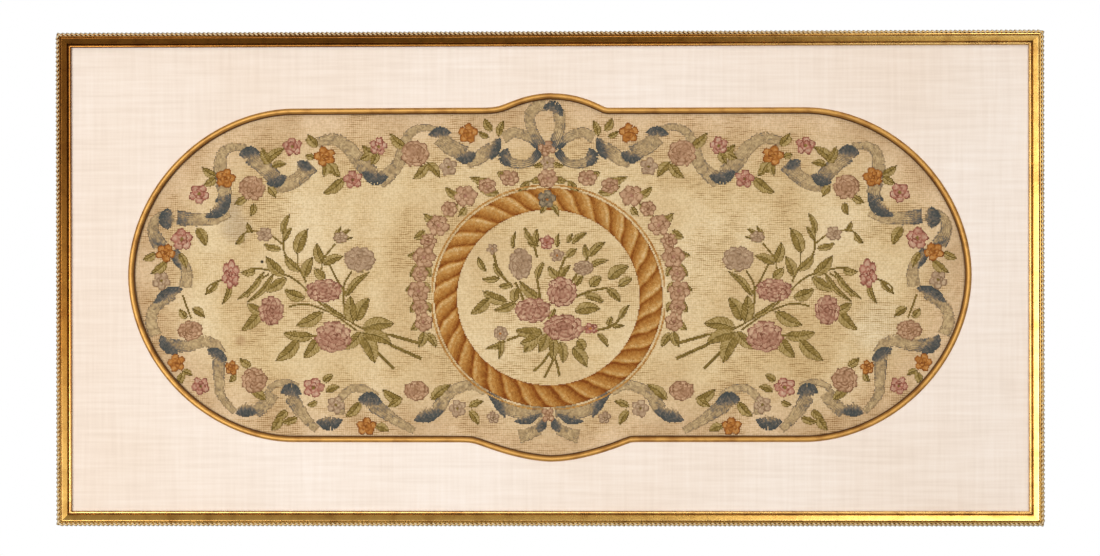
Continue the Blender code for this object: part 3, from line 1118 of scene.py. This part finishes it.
def rope_ring():
    """A laid rope bent into a ring: long slanted strands, each light first and then brown."""
    spot, radius, angle = polar(*RING_CENTRE, RING_WIDE, RING_HIGH)
    across = (radius - RING_INNER) / (1 - RING_INNER)
    lean = np.arcsin((2 * across - 1).clip(-1, 1)) / math.pi
    turn = angle / (2 * math.pi) * RING_TWISTS - STRAND_RUN * lean
    strand = (turn + 0.05 * patch[spot]) % 1
    lit = np.minimum(strand / 0.16, 1) * (1 - strand) ** 0.7
    yarns = 0.5 + 0.5 * np.sin(strand * 2 * math.pi * 4 + 1)
    tone = 0.06 + 0.86 * lit + 0.14 * yarns * lit + 0.12 * fine[spot]
    tone -= 0.32 * np.exp(-across.clip(0) / 0.16) + 0.18 * np.exp(-(1 - across).clip(0) / 0.1)
    tone -= 0.12 * np.clip(-np.sin(angle), 0, 1)
    rise = 0.15 + 0.55 * np.sqrt((1 - (2 * across - 1) ** 2).clip(0)) * (0.5 + 0.5 * lit)
    lay("rope_ring", "rope", spot, (across > 0) & (across < 1), tone, rise)
    outer_line = (across > 1.09) & (across < 1.17)
    lay("rope_ring", "rope", spot, outer_line, 0.62 + 0.2 * fine[spot], 0.05)


rope_ring()
print("rope ring of", RING_TWISTS, "strands")

# %% [markdown]
# Three roses, pale half-open flowers and their leaves fill the ring. This bouquet isn't
# mirrored, so every stem and leaf has its own place.

# %% Centre bouquet
BOUQUET_STEMS = [
    [(32, -22), (50, -15), (71, -11)],
    [(59, -62), (78, -56), (90, -41)],
    [(-50, -74), (-29, -66)],
    [(-40, -5), (-34, -16), (-30, -28)],
    [(-14, 0), (-10, -24)],
    [(1, -89), (-8, -102), (-18, -111)],
    [(5, -98), (-5, -119)],
    [(5, -88), (10, -104), (13, -117)],
    [(-68, 36), (-60, 10), (-44, -10)],
    [(47, 25), (30, 0), (24, -10)],
    [(20, 26), (12, 6), (8, -8)],
    [(-18, 43), (-14, 26)],
]
BOUQUET_LEAVES = [
    (-85, 27, -76, 10, 6),
    (-66, 19, -55, 2, 6),
    (-80, 0, -59, 1, 6),
    (-79, -15, -50, -28, 11),
    (-94, -42, -72, -24, 10),
    (-65, -38, -40, -29, 8),
    (-35, -3, -12, -24, 9),
    (-60, -9, -44, -6, 6),
    (42, 4, 32, -9, 7),
    (8, -36, 2, -52, 6),
    (-38, -11, -42, -28, 10),
    (-40, 56, -43, 37, 4),
    (-29, 62, -18, 43, 6),
    (-14, 60, -14, 42, 6),
    (-25, 44, -12, 40, 5),
    (12, 54, 11, 38, 5),
    (29, 54, 23, 43, 5),
    (46, 55, 28, 43, 6),
    (34, 36, 22, 26, 7),
    (-6, 20, -14, 0, 7),
    (0, 15, 12, 1, 8),
    (26, 16, 14, 1, 7),
    (44, 42, 47, 25, 6),
    (68, 44, 49, 27, 8),
    (71, 22, 50, 15, 6),
    (64, 2, 50, -9, 10),
    (96, 15, 72, 0, 12),
    (101, 0, 84, -9, 8),
    (86, -28, 70, -12, 8),
    (66, -28, 43, -20, 8),
    (62, -36, 32, -39, 12),
    (97, -32, 86, -48, 6),
    (76, -46, 72, -57, 6),
    (91, -57, 78, -59, 4),
    (71, -82, 59, -66, 6),
    (46, -106, 29, -83, 12),
    (43, -86, 34, -74, 10),
    (17, -101, 14, -76, 10),
    (-30, -88, -18, -69, 12),
    (-40, -62, -8, -64, 12),
    (-34, -78, -8, -66, 12),
    (-12, -88, -2, -66, 11),
    (4, -98, 4, -70, 10),
    (-76, -84, -52, -75, 6),
    (-60, -96, -58, -76, 6),
]
for points in BOUQUET_STEMS:
    stem("centre_bouquet", points, 3)
for row in BOUQUET_LEAVES:
    leaf("centre_bouquet", *row)
rose("centre_bouquet", -34, 18, 14, 19, "pale")
daisy("centre_bouquet", 10, 28, 8, "pale", high=7)
rose("centre_bouquet", 42, 13, 12, 9, "pale")
daisy("centre_bouquet", -58, -66, 8, "pale", petals=7)
daisy("centre_bouquet", -68, 36, 6, "pale")
daisy("centre_bouquet", -2, 44, 8, "coral")
daisy("centre_bouquet", 50, -60, 9, "coral", high=6)
rose("centre_bouquet", -19, -38, 22, 15)
rose("centre_bouquet", 18, -59, 25, 16)
rose("centre_bouquet", 16, -16, 18, 18)
print("bouquet of", len(BOUQUET_LEAVES), "leaves")

# %% [markdown]
# A bow ties the garland above the ring and a knot below it. They cross the middle line, so
# they are laid last, over both halves, with a small blue-grey flower on top of the rope.

# %% Bow, knot and star flower
leaf("ring_swag", -10, 79, -4, 90, 5)
leaf("ring_swag", 12, 76, 2, 90, 5)
daisy("ring_swag", -2, 96, 10, "star", petals=5, eye="orange")
daisy("ring_swag", -1, 121, 11, "blush", petals=6, eye="rose")
daisy("ring_swag", -1, 140, 8, "pale", eye="leaf")
ribbon_face(11, 15, 0.6, 0.0, [(-7, 158), (-18, 177), (-23, 194), (-16, 206), (-4, 210)])
ribbon_face(14, 12, 0.1, 0.9, [(12, 202), (14, 184), (10, 169), (3, 157)])
ribbon_turn(12, -1, [(-7, 205), (7, 208), (17, 196)])
daisy("ribbon_garland", -2, 157, 10, "blush", petals=4, eye="blush", high=9)
daisy("ribbon_garland", -1, -164, 8, "blush", petals=4, eye="blush", high=9)
print("tied the bow")

# %% [markdown]
# Every square now becomes part of a mesh. Stitches stop short of the fillet. Each piece is a
# grid over its own squares, raised by their rise and a little unevenness, and coloured
# stitch by stitch from its wools. Solidify closes it at the back, inside the canvas.

# %% From chart to raised needlework
STITCH_MARGIN = 8.0 * MM
STITCH_STAND = 0.2
STITCH_THICKNESS = 0.45 * MM
reach = inset_of(chart_x * MM, chart_z * MM)
chart["piece"][reach < STITCH_MARGIN] = 0


def wool_colours():
    """The linear colour of every square: its tone, picked from its own set of wools."""
    uneven = random.normal(0, 0.07, chart_x.shape)
    skein = 1 + random.normal(0, 0.035, chart_x.shape)
    tone = (chart["tone"] + uneven).clip(0, 1)
    colours = np.zeros((*chart_x.shape, 4))
    for index, name in enumerate(WOOL_NAMES):
        shades = np.array([linear(shade) for shade in WOOLS[name]])
        steps = np.linspace(0, 1, len(shades))
        mask = chart["wool"] == index
        for channel in range(3):
            colours[mask, channel] = np.interp(tone[mask], steps, shades[:, channel])
    colours *= skein[:, :, None]
    colours[:, :, 3] = 1
    return colours


stitch_colours = wool_colours()
unevenness = random.normal(0, 0.04, (CHART_ROWS + 1, CHART_COLUMNS + 1))
corner_rise = np.zeros((CHART_ROWS + 1, CHART_COLUMNS + 1))
padded = np.pad(chart["rise"], 1, mode="edge")
for down in (0, 1):
    for right in (0, 1):
        corner_rise += padded[down : down + CHART_ROWS + 1, right : right + CHART_COLUMNS + 1] / 4
corner_rise = STITCH_STAND + corner_rise + unevenness


def wool_stitches():
    """Wool yarn in small slanting stitches: quite matt, with a soft fuzz at the edges."""
    material, tree, shader, place = new_material("wool_tent_stitch", 0.95)
    wool = add(tree, "ShaderNodeAttribute", {"attribute_name": "stitch_colour"}).outputs["Color"]
    felt = ramp(tree, noise(tree, place, 240, 3), [(0.3, "#D9D4CC"), (0.6, "#FFFFFF")])
    tree.links.new(mixed(tree, 0.6, wool, felt, "MULTIPLY"), shader.inputs["Base Color"])
    shader.inputs["Sheen Weight"].default_value = 0.12
    shader.inputs["Specular IOR Level"].default_value = 0.2
    slanted = add(tree, "ShaderNodeMapping", Vector=place, Rotation=(0, math.radians(45), 0))
    yarns_a_metre = 1 / (STITCH * MM) / 2
    yarn = add(tree, "ShaderNodeTexWave", {"bands_direction": "X"}, Vector=slanted.outputs["Vector"])
    yarn.inputs["Scale"].default_value = yarns_a_metre / math.sqrt(2)
    bump(tree, shader, yarn.outputs["Fac"], 0.12 * MM)
    return material


def stitched_piece(name, material):
    """One piece of raised needlework, from the squares that belong to it."""
    mine = chart["piece"] == PIECES.index(name)
    rows, columns = np.nonzero(mine)
    low_row, high_row = rows.min(), rows.max() + 1
    low_column, high_column = columns.min(), columns.max() + 1
    corners_x = (np.arange(low_column, high_column + 1) - CHART_COLUMNS / 2) * STITCH * MM
    corners_z = (np.arange(low_row, high_row + 1) - CHART_ROWS / 2) * STITCH * MM
    x, z = np.meshgrid(corners_x, corners_z)
    rise = corner_rise[low_row : high_row + 1, low_column : high_column + 1] * MM
    mesh = grid_mesh(name, np.dstack([x, CLOTH_FACE - rise, z]))
    shape = (high_row - low_row, high_column - low_column)
    lowest = np.zeros(len(mesh.loops), int)
    mesh.loops.foreach_get("vertex_index", lowest)
    lowest = lowest.reshape(-1, 4).min(axis=1)
    face_row, face_column = np.divmod(lowest, shape[1] + 1)
    window = stitch_colours[low_row:high_row, low_column:high_column]
    colours = mesh.color_attributes.new("stitch_colour", "FLOAT_COLOR", "CORNER")
    per_corner = np.repeat(window[face_row, face_column], 4, axis=0)
    colours.data.foreach_set("color", per_corner.reshape(-1).astype(np.float32))
    keep = mine[low_row:high_row, low_column:high_column][face_row, face_column]
    bm = bmesh.new()
    bm.from_mesh(mesh)
    bm.faces.ensure_lookup_table()
    unused = [bm.faces[index] for index in np.nonzero(~keep)[0]]
    bmesh.ops.delete(bm, geom=unused, context="FACES")
    bm.to_mesh(mesh)
    bm.free()
    mesh.shade_smooth()
    piece = dressed(name, mesh, material)
    wall = piece.modifiers.new("yarn_depth", "SOLIDIFY")
    wall.thickness = STITCH_THICKNESS
    wall.offset = -1
    print(name, "has", int(keep.sum()), "stitches")
    return piece


wool = wool_stitches()
motifs = [stitched_piece(name, wool) for name in PIECES[1:]]

# %% [markdown]
# Behind the motifs lies the canvas itself, worked in plain wool and now thin with age, so
# its open grid of threads shows. It is a stretched sheet with a slight unevenness, cut a
# little larger than the opening, and it stands for the plain sheet of the model.

# %% The canvas
CLOTH_MARGIN = 10 * MM
CANVAS_CELL = 3.8 * MM
CANVAS_THICKNESS = 1.2 * MM
THREAD_PITCH = 2.54 * MM
CANVAS_UNEVEN = 0.12 * MM


# centre x and z, how far it spreads, colour and strength, in mm
STAINS_AND_SHEEN = [
    (-372, -74, 9, "#B08A62", 0.55),
    (-378, 62, 26, "#B8AA98", 0.45),
    (-384, 88, 20, "#B8AA98", 0.45),
    (-346, 21, 2.9, "#2E2A22", 1.0),
    (300, -80, 60, "#D2B788", 0.5),
    # a painted sheen: a pale patch where light glances off the cloth at the lower right
    (395, -60, 45, "#EFE2C4", 0.5),
]


def stain_and_sheen_spot(tree, place, x, z, reach, strength):
    """A soft round mark on the cloth, from strength at its centre to nothing."""
    centre = (x * MM, CLOTH_FACE, z * MM)
    ragged = add(tree, "ShaderNodeVectorMath", {"operation": "DISTANCE"}, i0=place, i1=centre)
    near = add(
        tree,
        "ShaderNodeMapRange",
        {"interpolation_type": "SMOOTHSTEP"},
        Value=ragged.outputs["Value"],
        From_Min=reach * MM,
        From_Max=0.3 * reach * MM,
        To_Max=strength,
    )
    return near.outputs["Result"]


def worked_canvas():
    """Plain wool on open canvas: cream, gridded with threads, pinker and greyer at the edge, with stains
    and a painted sheen.
    """
    material, tree, shader, place = new_material("worn_wool_on_canvas", 0.93)
    parts = add(tree, "ShaderNodeSeparateXYZ", Vector=place)
    turn = math.pi / THREAD_PITCH
    waver = maths(tree, "MULTIPLY", noise(tree, place, 60, 2), 4.0)
    warp_turn = maths(tree, "MULTIPLY_ADD", parts.outputs["X"], turn, waver)
    weft_turn = maths(tree, "MULTIPLY_ADD", parts.outputs["Z"], turn, waver)
    warp = maths(tree, "SUBTRACT", 1.0, maths(tree, "ABSOLUTE", maths(tree, "SINE", warp_turn)))
    weft = maths(tree, "SUBTRACT", 1.0, maths(tree, "ABSOLUTE", maths(tree, "SINE", weft_turn)))
    open_weave = ramp(tree, noise(tree, place, 16, 4), [(0.40, "#8A8A8A"), (0.62, "#FFFFFF")])
    dashes = ramp(tree, noise(tree, place, 520, 2, (0.16, 1, 1)), [(0.45, "#000000"), (0.62, "#FFFFFF")])
    weft = maths(tree, "MULTIPLY", weft, maths(tree, "MULTIPLY_ADD", dashes, 0.8, 0.35))
    gaps = maths(tree, "MULTIPLY", maths(tree, "MULTIPLY_ADD", warp, 0.45, weft), open_weave)
    cream = ramp(tree, noise(tree, place, 9, 5), [(0.35, "#D8BE92"), (0.5, "#E2CBA0"), (0.66, "#EAD6AF")])
    greyed = ramp(tree, noise(tree, place, 14, 5), [(0.35, "#CFB28C"), (0.6, "#E3C8A4")])
    edge = add(tree, "ShaderNodeAttribute", {"attribute_name": "edge_fade"}).outputs["Fac"]
    edge = maths(tree, "MULTIPLY_ADD", noise(tree, place, 25, 4), 0.5, maths(tree, "SUBTRACT", edge, 0.25))
    faded = mixed(tree, edge, cream, greyed)
    # stains, and the pale painted sheen at the lower right
    for x, z, reach, colour, strength in STAINS_AND_SHEEN:
        faded = mixed(tree, stain_and_sheen_spot(tree, place, x, z, reach, strength), faded, linear(colour))
    holes = ramp(tree, gaps, [(0.0, "#FFFFFF"), (0.4, "#EFE5D4"), (1.0, "#B39A70")])
    yarn = mixed(tree, 1.0, faded, holes, "MULTIPLY")
    fuzz = ramp(tree, noise(tree, place, 420, 3), [(0.3, "#DDD5C8"), (0.62, "#FFFFFF")])
    tree.links.new(mixed(tree, 0.7, yarn, fuzz, "MULTIPLY"), shader.inputs["Base Color"])
    shader.inputs["Specular IOR Level"].default_value = 0.2
    bump(tree, shader, maths(tree, "SUBTRACT", 1.0, gaps), 0.25 * MM)
    return material


EDGE_BAND = 62 * MM
CREST_ROOM = 30 * MM
reach_x = OPENING_WIDTH / 2 + CLOTH_MARGIN
canvas_columns = math.ceil(2 * reach_x / CANVAS_CELL)
reach_z = OPENING_HEIGHT / 2 + CREST_ROOM
canvas_rows = math.ceil(2 * reach_z / CANVAS_CELL)
canvas_x = np.linspace(-reach_x, reach_x, canvas_columns + 1)
canvas_z = np.linspace(-reach_z, reach_z, canvas_rows + 1)
x, z = np.meshgrid(canvas_x, canvas_z)
uneven = np.sin(x * 31) * np.sin(z * 47 + 1) + 0.6 * np.sin(x * 73 + z * 59)
sheet_mesh = grid_mesh("needlework_ground", np.dstack([x, CLOTH_FACE - CANVAS_UNEVEN * uneven, z]))
middle_reach = inset_of(x, z)
edge_fade = sheet_mesh.attributes.new("edge_fade", "FLOAT", "POINT")
faded = (1.3 - middle_reach / EDGE_BAND).clip(0, 1)
edge_fade.data.foreach_set("value", faded.reshape(-1).astype(np.float32))
bm = bmesh.new()
bm.from_mesh(sheet_mesh)
bm.verts.ensure_lookup_table()
hidden_margin = FILLET_WIDTH - CLOTH_MARGIN
outside = [bm.verts[index] for index in np.nonzero(middle_reach.reshape(-1) < hidden_margin)[0]]
bmesh.ops.delete(bm, geom=outside, context="VERTS")
canvas_area = sum(face.calc_area() for face in bm.faces)
bm.to_mesh(sheet_mesh)
bm.free()
sheet_mesh.shade_smooth()
ground = dressed("needlework_ground", sheet_mesh, worked_canvas(), ["tapestry"])
wall = ground.modifiers.new("cloth_depth", "SOLIDIFY")
wall.thickness = CANVAS_THICKNESS
wall.offset = -1
print("canvas has", len(sheet_mesh.polygons), "faces and", round(canvas_area, 4), "square metres")
